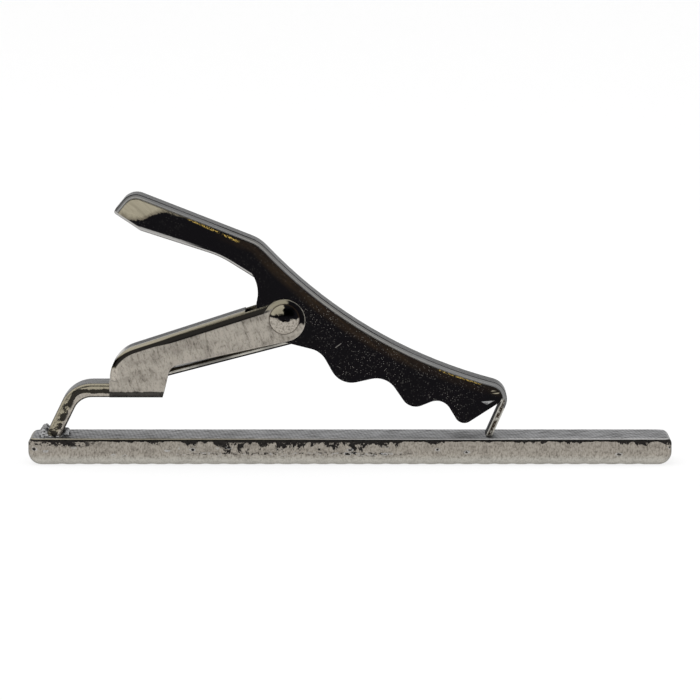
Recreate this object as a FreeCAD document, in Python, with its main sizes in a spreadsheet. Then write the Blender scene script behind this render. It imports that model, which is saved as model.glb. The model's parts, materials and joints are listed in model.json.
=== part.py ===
# Tie clip: a cast bar that carries a sprung clip of folded strip on its back.
# The bar lies on its front face, X runs along the bar, Y across it and Z up through the clip.
# The origin is the middle of the bar's front face, and every size is in millimetres or degrees.
import FreeCAD, Part
import os
import Sketcher

# Driving sizes: name, value and meaning.
SIZES = [
    ("bar_length", 55.0, "bar, end to end"),
    ("bar_width", 6.0, "bar, across"),
    ("bar_thick", 2.35, "bar, front face to back face"),
    ("bar_front_round", 1.1, "rounding of the bar's front edges"),
    ("bar_corner_extra", 0.1, "how much rounder the bar's corners are than its front edges"),
    ("bar_back_round", 0.2, "rounding of the bar's back edges"),
    ("bar_end_round", 0.6, "rounding of the bar's ends towards its back"),
    ("flute_pitch", 1.54, "spacing of the shallow flutes across the front face"),
    ("flute_radius", 1.6, "radius of the cutter that makes a flute"),
    ("flute_depth", 0.09, "depth of a flute"),
    ("flute_margin", 2.6, "end of the bar to the first flute, at least"),
    ("rivet_radius", 0.8, "shank of the hinge rivet"),
    ("rivet_head_radius", 1.31, "rim of a rivet head"),
    ("rivet_head_rim", 0.12, "height of a rivet head at its rim"),
    ("rivet_head_dome", 0.34, "rise of the dome above the rim"),
    ("pivot_clear", 0.05, "running clearance round the shank, on the radius"),
    ("side_clear", 0.05, "running clearance between lever and housing, each side"),
    ("post_thick", 1.22, "strip of the post"),
    ("post_inset", 1.42, "end of the bar to the foot of the post"),
    ("post_reach", 5.55, "foot of the post to the back edge of the housing"),
    ("post_lean", 64.0, "slope of the standing leg of the post"),
    ("post_bend", 1.6, "inside radius of the bend in the post"),
    ("post_edge", 0.3, "rounding of the post's long edges"),
    ("throat", 3.37, "back of the bar to the underside of the post"),
    ("tongue_length", 4.4, "part of the post held inside the housing"),
    ("bead_rise", 0.8, "height of the solder on the outer side of the foot"),
    ("bead_reach", 1.05, "spread of the solder on the outer side of the foot"),
    ("bead_half", 2.0, "half the width of those lumps across the bar"),
    ("fillet_rise", 0.5, "height of the solder on the inner side of the foot"),
    ("fillet_reach", 0.6, "spread of the solder on the inner side of the foot"),
    ("skirt_rise", 0.35, "height of the solder along the sides of the foot"),
    ("skirt_reach", 0.6, "spread of the solder beyond the sides of the foot"),
    ("housing_sheet", 0.45, "strip of the housing"),
    ("housing_bend", 0.9, "outside radius of the folds along the web of the housing"),
    ("tab_bend", 0.55, "outside radius of the folds along the tabs of the housing"),
    ("housing_slope", 17.9, "slope of the web of the housing"),
    ("housing_rise", 1.65, "hinge axis to the outside of the web"),
    ("housing_nose", 1.8, "radius of the round nose"),
    ("nose_drop", 0.12, "hinge axis down to the middle of the round nose"),
    ("housing_back", 14.93, "hinge axis to the back edge of the housing"),
    ("housing_wall", 3.6916, "height of the housing at its back edge"),
    ("housing_shoulder", 2.9, "radius of the web where it turns down at the back"),
    ("back_edge", 1.5, "height of the square back edge of a flange"),
    ("housing_mouth", 3.35, "hinge axis to the front end of the web"),
    ("flange_slope", 12.2, "slope of the lower edge of a flange"),
    ("tab_root", 9.75, "hinge axis to the tab where it joins the flange"),
    ("tab_toe", 10.4, "hinge axis to the tab at its lower corner"),
    ("tab_gap", 1.1, "gap between the folded ends of the two tabs"),
    ("tab_round", 1.1, "rounding where the tab joins the flange"),
    ("lever_width", 3.6, "lever, across"),
    ("lever_sheet", 0.5, "strip of the lever"),
    ("fold_flat", 0.06, "how much tighter the lever's folds are than its strip is thick"),
    ("lever_tilt", 39.6, "slope of the lever's own axis at rest"),
    ("jaw_rise", 3.35, "hinge axis to the outside of the lever's web"),
    ("jaw_radius", 41.2, "hollow curve of the web over the jaw"),
    ("jaw_reach", 18.9, "hinge axis to the corner where the tip turns down"),
    ("tip_bend", 1.5, "outside radius of the turned-down tip"),
    ("tip_lean", 74.3, "slope of the tip below the lever's axis"),
    ("tip_width", 2.8, "tip, across"),
    ("tip_shoulder", 0.15, "full-width strip left below the bend of the tip"),
    ("relief", 0.5, "depth of the narrow gap beside the tip, above that strip's end"),
    ("tip_clear", 0.03, "tip to the back of the bar at rest"),
    ("heel", 5.75, "hinge axis to the crown between jaw and handle"),
    ("crown_round", 3.6, "rounding of that crown"),
    ("handle_slope", 18.2, "slope of the handle below the lever's axis"),
    ("handle_length", 11.84, "crown to the end of the handle"),
    ("handle_nose", 2.35, "depth of the turned-down end of the handle"),
    ("nose_round", 1.4, "rounding of that end"),
    ("grip_x", -14.2, "lower corner of the handle, along the lever"),
    ("grip_z", -2.0, "lower corner of the handle, above the axis"),
    ("waist_x", -7.6, "bend of the handle's lower edge, along the lever"),
    ("waist_z", 0.62, "bend of the handle's lower edge, above the axis"),
    ("ear_x", 4.21, "top of the hinge ear, behind the axis"),
    ("ear_z", 1.07, "top of the hinge ear above the axis"),
    ("ear_back_x", 2.69, "lower end of the ear's hollow back, behind the axis"),
    ("ear_back_z", 0.48, "lower end of the ear's hollow back, below the axis"),
    ("ear_hollow", 3.0, "radius of the ear's hollow back"),
    ("ear_depth", 1.75, "bottom of the hinge ear below the axis"),
    ("ear_foot", 1.7, "flat at the bottom of the hinge ear, behind the axis"),
    ("ear_toe", 0.9, "flat at the bottom of the hinge ear, ahead of the axis"),
    ("hollow_a_share", 0.2219, "first hollow of the jaw, share of the way from axis to tip"),
    ("hollow_a_depth", 3.75, "first hollow of the jaw, below the outside of the web"),
    ("tooth_a_share", 0.3893, "first tooth, share of the way from axis to tip"),
    ("tooth_a_depth", 5.42, "first tooth, below the outside of the web"),
    ("hollow_b_share", 0.5203, "second hollow, share of the way from axis to tip"),
    ("hollow_b_depth", 2.77, "second hollow, below the outside of the web"),
    ("tooth_b_share", 0.7032, "second tooth, share of the way from axis to tip"),
    ("tooth_b_depth", 4.77, "second tooth, below the outside of the web"),
    ("hollow_c_share", 0.7797, "third hollow, share of the way from axis to tip"),
    ("hollow_c_depth", 2.64, "third hollow, below the outside of the web"),
    ("tooth_c_share", 0.9298, "third tooth, share of the way from axis to tip"),
    ("tooth_c_depth", 4.85, "third tooth, below the outside of the web"),
    ("tooth_a_round", 1.9, "rounding of the first tooth"),
    ("tooth_b_round", 1.3, "rounding of the second tooth"),
    ("tooth_c_round", 0.85, "rounding of the third tooth"),
    ("hollow_round", 1.9, "rounding of the first and second hollow"),
    ("hollow_c_round", 1.3, "rounding of the third hollow"),
    ("edge_round", 0.5, "rounding of the other corners of the lever's edge"),
    ("edge_roll", 0.2, "rounding of the handle's lower edge and rim"),
    ("waist_round", 8.0, "rounding of the bend in the handle's lower edge"),
    ("spring_thick", 0.45, "strip of the spring"),
    ("spring_width", 2.4, "spring, across"),
    ("spring_coil", 2.35, "outside radius of the bend round the rivet"),
    ("spring_seat", 12.1, "hinge axis to the end of the lower leg"),
    ("spring_press", 4.9, "crown to the end of the upper leg, along the lever"),
    ("spring_clear", 0.05, "upper leg to the underside of the handle"),
]

doc = FreeCAD.newDocument("tie_clip")
sheet = doc.addObject("Spreadsheet::Sheet", "Sizes")
for row, (alias, value, meaning) in enumerate(SIZES, start=1):
    sheet.set(f"A{row}", meaning)
    sheet.set(f"B{row}", str(value))
    sheet.setAlias(f"B{row}", alias)
doc.recompute()


def cell(alias):
    """Expression that reads one driving size."""
    return f"Sizes.{alias}"


def new_body(label):
    body = doc.addObject("PartDesign::Body", label)
    body.Label = label
    return body


def place_at_pivot(body):
    """Puts a piece that is drawn about the hinge axis in its place on the bar."""
    body.setExpression("Placement.Base.x", pivot_x)
    body.setExpression("Placement.Base.z", pivot_z)


def origin_plane(body, role):
    return next(plane for plane in body.Origin.OriginFeatures if plane.Role == role)


def new_sketch(body, name, role="XZ_Plane"):
    sketch = body.newObject("Sketcher::SketchObject", name)
    sketch.AttachmentSupport = (origin_plane(body, role), [""])
    sketch.MapMode = "FlatFace"
    return sketch


def number(sketch, expression):
    return float(sketch.evalExpression(expression))


def bind(sketch, kind, *where, expression):
    """Adds one dimension to a sketch and binds it to the driving sizes."""
    index = sketch.addConstraint(Sketcher.Constraint(kind, *where, number(sketch, expression)))
    sketch.setExpression(f"Constraints[{index}]", expression)


def draw_outline(body, name, corners, arcs=None, role="XZ_Plane"):
    """Closed outline through corners given as pairs of expressions.

    arcs maps a corner's index to (radius, side): the stretch from that corner to the next is then
    an arc of that radius, with its centre to the left (1) or the right (-1) of the way along."""
    arcs = arcs or {}
    sketch = new_sketch(body, name, role)
    points = [FreeCAD.Vector(number(sketch, x), number(sketch, y), 0) for x, y in corners]
    starts = []
    for index, start in enumerate(points):
        end = points[(index + 1) % len(points)]
        if index not in arcs:
            sketch.addGeometry(Part.LineSegment(start, end))
            starts.append((1, 2))
            continue
        radius_expression, side = arcs[index]
        radius = number(sketch, radius_expression)
        chord = end - start
        normal = FreeCAD.Vector(-chord.y, chord.x, 0).normalize() * side
        centre = (start + end) / 2 + normal * (radius ** 2 - (chord.Length / 2) ** 2) ** 0.5
        bulge = centre - normal * radius
        forward = side > 0
        sketch.addGeometry(Part.Arc(start, bulge, end) if forward else Part.Arc(end, bulge, start))
        starts.append((1, 2) if forward else (2, 1))
    for index in range(len(points)):
        following = (index + 1) % len(points)
        sketch.addConstraint(
            Sketcher.Constraint("Coincident", index, starts[index][1], following, starts[following][0]))
    for index, (x, y) in enumerate(corners):
        bind(sketch, "DistanceX", -1, 1, index, starts[index][0], expression=x)
        bind(sketch, "DistanceY", -1, 1, index, starts[index][0], expression=y)
    for index, (radius_expression, _) in arcs.items():
        bind(sketch, "Radius", index, expression=radius_expression)
    return sketch


def draw_circle(body, name, radius, x="0", y="0", role="XZ_Plane"):
    sketch = new_sketch(body, name, role)
    centre = FreeCAD.Vector(number(sketch, x), number(sketch, y), 0)
    sketch.addGeometry(Part.Circle(centre, FreeCAD.Vector(0, 0, 1), number(sketch, radius)))
    bind(sketch, "DistanceX", -1, 1, 0, 3, expression=x)
    bind(sketch, "DistanceY", -1, 1, 0, 3, expression=y)
    bind(sketch, "Radius", 0, expression=radius)
    return sketch


def pad_across(body, name, sketch, width):
    """Pads a side outline by the same amount to both sides of the middle plane."""
    pad = body.newObject("PartDesign::Pad", name)
    pad.Profile = sketch
    pad.SideType = "Symmetric"
    pad.setExpression("Length", width)
    doc.recompute()
    return pad


def cut_across(body, name, sketch, width):
    """Cuts a side outline by the same amount to both sides of the middle plane."""
    before = body.Shape.Volume
    pocket = body.newObject("PartDesign::Pocket", name)
    pocket.Profile = sketch
    pocket.SideType = "Symmetric"
    pocket.setExpression("Length", width)
    doc.recompute()
    if not body.Shape.Volume < before:
        raise RuntimeError(f"{name} cuts nothing")
    return pocket


def round_edges(body, name, edges, radius):
    """Fillets the edges of the body that a test picks."""
    base = body.Tip
    names = [f"Edge{index}" for index, edge in enumerate(base.Shape.Edges, start=1) if edges(edge)]
    if not names:
        raise RuntimeError(f"{name} finds no edge")
    fillet = body.newObject("PartDesign::Fillet", name)
    fillet.Base = (base, names)
    fillet.setExpression("Radius", radius)
    doc.recompute()
    if not fillet.isValid():
        raise RuntimeError(f"{name} fails")
    return fillet


# Distances, in millimetres, within which a tested edge counts as lying on a line.
NEAR = 1e-4
ALONG = 0.05


def crosswise_at(sketch, corner):
    """Test for an edge that runs across the part through one corner of an outline."""
    x, y = (number(sketch, expression) for expression in corner)

    def found(edge):
        ends = [vertex.Point for vertex in edge.Vertexes]
        return len(ends) == 2 and all(abs(p.x - x) < NEAR and abs(p.z - y) < NEAR for p in ends)
    return found


def any_of(*tests):
    return lambda edge: any(test(edge) for test in tests)


# Places that several pieces share: the post's foot and underside, the housing and the hinge axis.
half_length = f"{cell('bar_length')} / 2"
half_width = f"{cell('bar_width')} / 2"
post_foot = f"({cell('post_inset')} - {half_length})"
post_under = f"({cell('bar_thick')} + {cell('throat')})"
housing_end = f"({post_foot} + {cell('post_reach')})"
web_lean = f"tan({cell('housing_slope')})"
web_outside = f"({cell('housing_rise')} / cos({cell('housing_slope')}))"
pivot_x = f"({housing_end} + {cell('housing_back')})"
pivot_z = (f"({post_under} + {cell('housing_wall')} + {cell('housing_back')} * {web_lean}"
           f" - {web_outside})")

# Tie bar: a slim casting with round front edges and shallow flutes across its front face.
bar = new_body("tie_bar")
bar_plan = draw_outline(bar, "bar_plan", [
    (f"-{half_length}", f"-{half_width}"),
    (half_length, f"-{half_width}"),
    (half_length, half_width),
    (f"-{half_length}", half_width),
], role="XY_Plane")
bar_pad = bar.newObject("PartDesign::Pad", "bar_blank")
bar_pad.Profile = bar_plan
bar_pad.setExpression("Length", cell("bar_thick"))
doc.recompute()


def level(height):
    """Test for an edge that lies flat at one height."""
    return lambda edge: all(abs(vertex.Z - height) < NEAR for vertex in edge.Vertexes)


def upright(edge):
    low, high = (vertex.Point for vertex in edge.Vertexes)
    return abs(low.x - high.x) < NEAR and abs(low.y - high.y) < NEAR


round_edges(bar, "bar_corners", upright, f"{cell('bar_front_round')} + {cell('bar_corner_extra')}")
round_edges(bar, "bar_front", level(0), cell("bar_front_round"))
round_edges(bar, "bar_back", level(number(sheet, cell("bar_thick"))), cell("bar_back_round"))
end_round = cell("bar_end_round")
end_start = f"({half_length} - {end_round})"
end_beyond = f"({half_length} + {end_round})"
end_low = f"({cell('bar_thick')} - {end_round})"
end_above = f"({cell('bar_thick')} + {end_round})"
right_end = draw_outline(bar, "right_end", [
    (half_length, end_low), (end_start, cell("bar_thick")), (end_start, end_above),
    (end_beyond, end_above), (end_beyond, end_low)], arcs={0: (end_round, 1)})
cut_across(bar, "right_end_round", right_end, f"2 * {cell('bar_width')}")
left_end = draw_outline(bar, "left_end", [
    (f"-{end_start}", cell("bar_thick")), (f"-({half_length})", end_low), (f"-{end_beyond}", end_low),
    (f"-{end_beyond}", end_above), (f"-{end_start}", end_above)], arcs={0: (end_round, 1)})
cut_across(bar, "left_end_round", left_end, f"2 * {cell('bar_width')}")
flute_steps = f"floor(({cell('bar_length')} - 2 * {cell('flute_margin')}) / {cell('flute_pitch')})"
flute_row = f"{cell('flute_pitch')} * {flute_steps}"
flute_sketch = draw_circle(
    bar, "flute_round", cell("flute_radius"), f"-({flute_row}) / 2",
    f"{cell('flute_depth')} - {cell('flute_radius')}")
flute = cut_across(bar, "flute", flute_sketch, f"2 * {cell('bar_width')}")
flutes = bar.newObject("PartDesign::LinearPattern", "flutes")
flutes.Originals = [flute]
flutes.Direction = (flute_sketch, ["H_Axis"])
flutes.setExpression("Length", flute_row)
flutes.setExpression("Occurrences", f"{flute_steps} + 1")
bar.Tip = flutes
doc.recompute()

# Post: a bent strip that stands on the back of the bar and holds the housing by its tongue.
post = new_body("post")
post_top = f"({post_under} + {cell('post_thick')})"
post_run = f"tan({cell('post_lean')})"
leg_width = f"{cell('post_thick')} / sin({cell('post_lean')})"
tongue_end = f"({housing_end} + {cell('tongue_length')})"
tongue_under = f"({post_under} + {cell('housing_sheet')})"
post_width = f"({cell('lever_width')} + 2 * {cell('side_clear')})"
bend_outside = (f"{post_foot} + ({cell('throat')} + {cell('post_thick')}) / {post_run}", post_top)
bend_inside = (f"{post_foot} + {leg_width} + {cell('throat')} / {post_run}", post_under)
post_side = draw_outline(post, "post_side", [
    (post_foot, cell("bar_thick")),
    bend_outside,
    (tongue_end, post_top),
    (tongue_end, tongue_under),
    (housing_end, tongue_under),
    (housing_end, post_under),
    bend_inside,
    (f"{post_foot} + {leg_width}", cell("bar_thick")),
])
pad_across(post, "post_strip", post_side, post_width)
round_edges(post, "post_outside", crosswise_at(post_side, bend_outside),
            f"{cell('post_bend')} + {cell('post_thick')}")
round_edges(post, "post_inside", crosswise_at(post_side, bend_inside), cell("post_bend"))


def post_long_edge(edge):
    """Test for the edges along both sides of the post's bent leg, above its foot and behind the housing."""
    half = number(sheet, post_width) / 2
    middle = edge.valueAt((edge.FirstParameter + edge.LastParameter) / 2)
    beside = all(abs(abs(point.y) - half) < NEAR for point in [middle, *[v.Point for v in edge.Vertexes]])
    at_foot = abs(middle.z - number(sheet, cell("bar_thick"))) < NEAR
    return beside and not at_foot and middle.x < number(sheet, housing_end) - NEAR


round_edges(post, "post_edges", post_long_edge, cell("post_edge"))

# Solder bead: a lump on each side of the post's foot, flat on the bar and fitted to the post.


def solder_lump(name, reach, half, rise, x):
    lump = doc.addObject("Part::Ellipsoid", name)
    lump.setExpression("Radius1", rise)
    lump.setExpression("Radius2", reach)
    lump.setExpression("Radius3", half)
    lump.Angle1 = 0
    lump.setExpression("Placement.Base.x", x)
    lump.setExpression("Placement.Base.z", cell("bar_thick"))
    return lump


foot_middle = f"({post_foot} + {leg_width} / 2)"
lumps = doc.addObject("Part::MultiFuse", "lumps")
lumps.Shapes = [
    solder_lump("outer_lump", cell("bead_reach"), cell("bead_half"), cell("bead_rise"), post_foot),
    solder_lump("inner_lump", cell("fillet_reach"), cell("bead_half"), cell("fillet_rise"),
                f"{post_foot} + {leg_width}"),
    solder_lump("skirt", f"{leg_width} / 2 + {cell('skirt_reach')}",
                f"{post_width} / 2 + {cell('skirt_reach')}", cell("skirt_rise"), foot_middle),
]
bead = doc.addObject("Part::Cut", "solder_bead")
bead.Label = "solder_bead"
bead.Base = lumps
bead.Tool = post
doc.recompute()

# Spring housing: a strip folded to a channel, drawn about the hinge axis.
housing = new_body("spring_housing")
place_at_pivot(housing)
inner_width = f"({cell('lever_width')} + 2 * {cell('side_clear')})"
outer_width = f"({inner_width} + 2 * {cell('housing_sheet')})"
web_inside = f"({cell('housing_rise')} - {cell('housing_sheet')}) / cos({cell('housing_slope')})"
tab_floor = f"({post_under} - {pivot_z})"
tab_inside = f"({tab_floor} + {cell('housing_sheet')})"
nose_low_x = f"({cell('housing_nose')} * sin({cell('flange_slope')}))"
nose_low_z = f"(-{cell('housing_nose')} * cos({cell('flange_slope')}) - {cell('nose_drop')})"
shoulder = (f"-{cell('housing_back')}", f"{web_outside} - {cell('housing_back')} * {web_lean}")
tab_heel = (f"-{cell('housing_back')}", tab_floor)
tab_corner = (f"-{cell('tab_toe')}", tab_floor)
tab_join = (f"-{cell('tab_root')}",
            f"{nose_low_z} - ({cell('tab_root')} + {nose_low_x}) * tan({cell('flange_slope')})")
web_foot = (f"-{cell('housing_rise')} * sin({cell('housing_slope')})",
            f"{cell('housing_rise')} * cos({cell('housing_slope')})")
housing_side = draw_outline(housing, "housing_side", [
    shoulder, tab_heel, tab_corner, tab_join, (nose_low_x, nose_low_z), web_foot])
pad_across(housing, "housing_blank", housing_side, outer_width)
round_edges(housing, "shoulder", crosswise_at(housing_side, shoulder), cell("housing_shoulder"))
round_edges(housing, "tab_join", crosswise_at(housing_side, tab_join), cell("tab_round"))


def on_flange(edge):
    """Test for an edge that lies in the outer face of a flange."""
    half = number(sheet, outer_width) / 2
    return all(abs(abs(vertex.Y) - half) < NEAR for vertex in edge.Vertexes) and (
        edge.Vertexes[0].Y * edge.Vertexes[-1].Y > 0)


def web_fold(edge):
    """Test for the folds along the web and down its turned-down end."""
    if not on_flange(edge):
        return False
    middle = edge.valueAt((edge.FirstParameter + edge.LastParameter) / 2)
    web_height = number(sheet, f"{web_outside} + ({middle.x}) * {web_lean}")
    at_back = middle.x < number(sheet, f"-{cell('housing_back')} + {cell('housing_shoulder')} / 2")
    return abs(middle.z - web_height) < NEAR or (at_back and not tab_fold(edge))


def tab_fold(edge):
    """Test for the folds along the bottom of the tabs."""
    floor = number(sheet, tab_floor)
    return on_flange(edge) and all(abs(vertex.Z - floor) < NEAR for vertex in edge.Vertexes)


round_edges(housing, "web_folds", web_fold, cell("housing_bend"))
back_inner = f"({cell('housing_bend')} - {cell('housing_back')})"
back_top = f"{tab_floor} + {cell('back_edge')}"
square_back = draw_outline(housing, "square_back", [
    tab_heel, (back_inner, tab_floor), (back_inner, back_top), (f"-{cell('housing_back')}", back_top)])
pad_across(housing, "square_back_edges", square_back, outer_width)
round_edges(housing, "tab_folds", tab_fold, cell("tab_bend"))
nose_sketch = draw_circle(housing, "nose_round", cell("housing_nose"), y=f"-{cell('nose_drop')}")
pad_across(housing, "nose", nose_sketch, outer_width)
spill = cell("housing_nose")
inner_back = f"({cell('housing_sheet')} - {cell('housing_back')})"
inner_round = f"({cell('housing_shoulder')} - {cell('housing_sheet')})"
inner_turn = f"({inner_round} * tan((90 - {cell('housing_slope')}) / 2))"
inner_corner_z = f"{web_inside} + {inner_back} * {web_lean}"
post_opening = f"({tab_floor} + {cell('post_thick')})"
outside_back = f"-({cell('housing_back')} + {spill})"
web_end = f"-{cell('housing_mouth')}"
above_nose = f"2 * {cell('housing_nose')}"
housing_hollow = draw_outline(housing, "housing_hollow", [
    (outside_back, tab_inside),
    (above_nose, tab_inside),
    (above_nose, above_nose),
    (web_end, above_nose),
    (web_end, f"{web_inside} + {web_end} * {web_lean}"),
    (f"{inner_back} + {inner_turn} * cos({cell('housing_slope')})",
     f"{inner_corner_z} + {inner_turn} * sin({cell('housing_slope')})"),
    (inner_back, f"{inner_corner_z} - {inner_turn}"),
    (inner_back, post_opening),
    (outside_back, post_opening),
], arcs={5: (inner_round, 1)})
cut_across(housing, "hollow", housing_hollow, inner_width)


def inner_fold(edge):
    """Test for the inside of the folds along the straight part of the web."""
    ends = [vertex.Point for vertex in edge.Vertexes]
    half = number(sheet, inner_width) / 2
    heights = [number(sheet, f"{web_inside} + ({point.x}) * {web_lean}") for point in ends]
    along = all(abs(abs(point.y) - half) < NEAR for point in ends) and ends[0].y * ends[-1].y > 0
    return along and all(abs(point.z - height) < NEAR for point, height in zip(ends, heights))


round_edges(housing, "inner_folds", inner_fold, f"{cell('housing_bend')} - {cell('housing_sheet')}")
tab_slot = draw_outline(housing, "tab_slot", [
    (outside_back, f"{tab_floor} - {spill}"),
    (f"-{cell('tab_root')}", f"{tab_floor} - {spill}"),
    (f"-{cell('tab_root')}", tab_inside),
    (outside_back, tab_inside),
])
cut_across(housing, "tab_gap", tab_slot, cell("tab_gap"))
rivet_hole = draw_circle(housing, "rivet_hole", cell("rivet_radius"))
cut_across(housing, "rivet_hole_cut", rivet_hole, f"2 * {outer_width}")

# Jaw lever: a strip folded to a channel, drawn about the hinge axis with its own axis level.
lever = new_body("jaw_lever")
place_at_pivot(lever)
lever.Placement.Rotation = FreeCAD.Rotation(FreeCAD.Vector(0, 1, 0), 0)
lever.setExpression("Placement.Rotation.Angle", cell("lever_tilt"))
bow_centre = f"({cell('jaw_radius')} + {cell('jaw_rise')})"


def web_height(x, radius):
    """Height of the lever's hollow web at one place along the jaw."""
    return f"({bow_centre} - sqrt({radius}^2 - ({x})^2))"


tip_x = f"cos({cell('tip_lean')})"
tip_z = f"sin({cell('tip_lean')})"
tilt_sine = f"sin({cell('lever_tilt')})"
tilt_cosine = f"cos({cell('lever_tilt')})"
tip_corner_z = web_height(cell("jaw_reach"), cell("jaw_radius"))
tip_back_x = f"({cell('jaw_reach')} - {cell('lever_sheet')} * {tip_z})"
tip_back_z = f"({tip_corner_z} - {cell('lever_sheet')} * {tip_x})"
tip_floor = f"({cell('bar_thick')} + {cell('tip_clear')} - {pivot_z})"
tip_fall = f"({tip_x} * {tilt_sine} + {tip_z} * {tilt_cosine})"


def down_the_tip(x, z, distance):
    return (f"{x} + {distance} * {tip_x}", f"{z} - {distance} * {tip_z}")


def tip_end(x, z):
    """Where a line down the tip meets the level just clear of the bar."""
    height = f"({z} * {tilt_cosine} - {x} * {tilt_sine})"
    return down_the_tip(x, z, f"(({height} - {tip_floor}) / {tip_fall})")


jaw_end = f"asin({cell('jaw_reach')} / {cell('jaw_radius')})"
half_turn = f"(({jaw_end} + {cell('tip_lean')} * 1 deg) / 2)"
bend_run = f"({cell('tip_bend')} * tan({half_turn}))"
shoulder_run = f"({bend_run} + {cell('tip_shoulder')})"
crown = (f"-{cell('heel')}", web_height(cell("heel"), cell("jaw_radius")))
handle_run = f"{cell('handle_length')} * cos({cell('handle_slope')})"
handle_drop = f"{cell('handle_length')} * sin({cell('handle_slope')})"
nose_x = f"({crown[0]} - {handle_run})"
nose_top = (nose_x, f"{crown[1]} - {handle_drop}")
nose_bottom = (nose_x, f"{nose_top[1]} - {cell('handle_nose')}")
tip_corner = (cell("jaw_reach"), tip_corner_z)
grip = (cell("grip_x"), cell("grip_z"))
waist = (cell("waist_x"), cell("waist_z"))
ear_top = (f"-{cell('ear_x')}", cell("ear_z"))
ear_back = (f"-{cell('ear_back_x')}", f"-{cell('ear_back_z')}")
ear_heel = (f"-{cell('ear_foot')}", f"-{cell('ear_depth')}")
ear_front = (cell("ear_toe"), f"-{cell('ear_depth')}")


def jaw_corner(name):
    """Corner of the jaw's wavy edge, hung below the web."""
    x = f"{cell(name + '_share')} * {cell('jaw_reach')}"
    return (x, f"{web_height(x, cell('jaw_radius'))} - {cell(name + '_depth')}")


hollows = [jaw_corner(f"hollow_{one}") for one in "abc"]
teeth = [jaw_corner(f"tooth_{one}") for one in "abc"]
lever_side = draw_outline(lever, "lever_side", [
    crown, tip_corner,
    down_the_tip(cell("jaw_reach"), tip_corner_z, shoulder_run),
    down_the_tip(tip_back_x, tip_back_z, shoulder_run),
    down_the_tip(tip_back_x, tip_back_z, f"({shoulder_run} - {cell('relief')})"),
    teeth[2], hollows[2], teeth[1], hollows[1], teeth[0], hollows[0],
    ear_front, ear_heel, ear_back, ear_top, waist, grip, nose_bottom, nose_top,
], arcs={0: (cell("jaw_radius"), 1), 13: (cell("ear_hollow"), 1)})
pad_across(lever, "lever_blank", lever_side, cell("lever_width"))
for name, corners, radius in [
    ("first_tooth", teeth[:1], cell("tooth_a_round")),
    ("second_tooth", teeth[1:2], cell("tooth_b_round")),
    ("third_tooth", teeth[2:], cell("tooth_c_round")),
    ("wide_hollows", hollows[:2], cell("hollow_round")),
    ("third_hollow", hollows[2:], cell("hollow_c_round")),
    ("ear_corners", [ear_heel, ear_front, grip], cell("edge_round")),
    ("waist_bend", [waist], cell("waist_round")),
    ("crown", [crown], cell("crown_round")),
    ("handle_end", [nose_top], cell("nose_round")),
    ("tip_bend", [tip_corner], cell("tip_bend")),
]:
    round_edges(lever, name, any_of(*[crosswise_at(lever_side, one) for one in corners]), radius)


def lever_fold(edge):
    """Test for the long folds between the lever's web and its flanges."""
    half = number(sheet, cell("lever_width")) / 2
    if not all(abs(abs(vertex.Y) - half) < NEAR for vertex in edge.Vertexes):
        return False
    middle = edge.valueAt((edge.FirstParameter + edge.LastParameter) / 2)
    if abs(abs(middle.y) - half) > NEAR:
        return False
    handle_line = number(sheet, f"{crown[1]} + ({middle.x} + {cell('heel')}) * tan({cell('handle_slope')})")
    on_handle = middle.x < number(sheet, crown[0]) and abs(middle.z - handle_line) < ALONG
    from_bow = middle.distanceToPoint(FreeCAD.Vector(0, middle.y, number(sheet, bow_centre)))
    return on_handle or abs(from_bow - number(sheet, cell("jaw_radius"))) < ALONG


def handle_edge(edge):
    """Test for the straight lower edge of the handle, from which the rolled edge runs on to ear and rim."""
    ends = [vertex.Point for vertex in edge.Vertexes]
    half = number(sheet, cell("lever_width")) / 2
    beside = all(abs(abs(point.y) - half) < NEAR for point in ends) and ends[0].y * ends[-1].y > 0
    middle = edge.valueAt((edge.FirstParameter + edge.LastParameter) / 2)
    (grip_x, grip_z), (waist_x, waist_z) = [
        [number(sheet, one) for one in point] for point in (grip, waist)]
    line = grip_z + (middle.x - grip_x) * (waist_z - grip_z) / (waist_x - grip_x)
    return beside and grip_x < middle.x < waist_x and abs(middle.z - line) < NEAR


round_edges(lever, "lever_folds", lever_fold, f"{cell('lever_sheet')} - {cell('fold_flat')}")
round_edges(lever, "rolled_edge", handle_edge, cell("edge_roll"))
tip_side = draw_outline(lever, "tip_side", [
    down_the_tip(cell("jaw_reach"), tip_corner_z, shoulder_run),
    tip_end(cell("jaw_reach"), tip_corner_z),
    tip_end(tip_back_x, tip_back_z),
    down_the_tip(tip_back_x, tip_back_z, shoulder_run),
])
pad_across(lever, "tip", tip_side, cell("tip_width"))
inner_radius = f"({cell('jaw_radius')} + {cell('lever_sheet')})"
inside_width = f"({cell('lever_width')} - 2 * {cell('lever_sheet')})"
under_jaw = f"-(2 * {cell('ear_depth')} + {cell('handle_length')})"
bend_start = f"({jaw_end} - asin({bend_run} / {cell('jaw_radius')}))"
inner_crown = (crown[0], web_height(cell("heel"), inner_radius))
inner_nose_x = f"({nose_x} + {cell('lever_sheet')})"
inner_nose = (inner_nose_x,
              f"{inner_crown[1]} - ({crown[0]} - {inner_nose_x}) * tan({cell('handle_slope')})")
lever_hollow = draw_outline(lever, "lever_hollow", [
    inner_crown,
    (f"{inner_radius} * sin({bend_start})", f"{bow_centre} - {inner_radius} * cos({bend_start})"),
    down_the_tip(tip_back_x, tip_back_z, bend_run),
    down_the_tip(tip_back_x, tip_back_z, cell("jaw_reach")),
    (inner_nose_x, under_jaw),
    inner_nose,
], arcs={0: (inner_radius, 1), 1: (f"{cell('tip_bend')} - {cell('lever_sheet')}", -1)})
cut_across(lever, "lever_inside", lever_hollow, inside_width)
round_edges(lever, "inner_crown", crosswise_at(lever_hollow, inner_crown),
            f"{cell('crown_round')} - {cell('lever_sheet')}")
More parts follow.
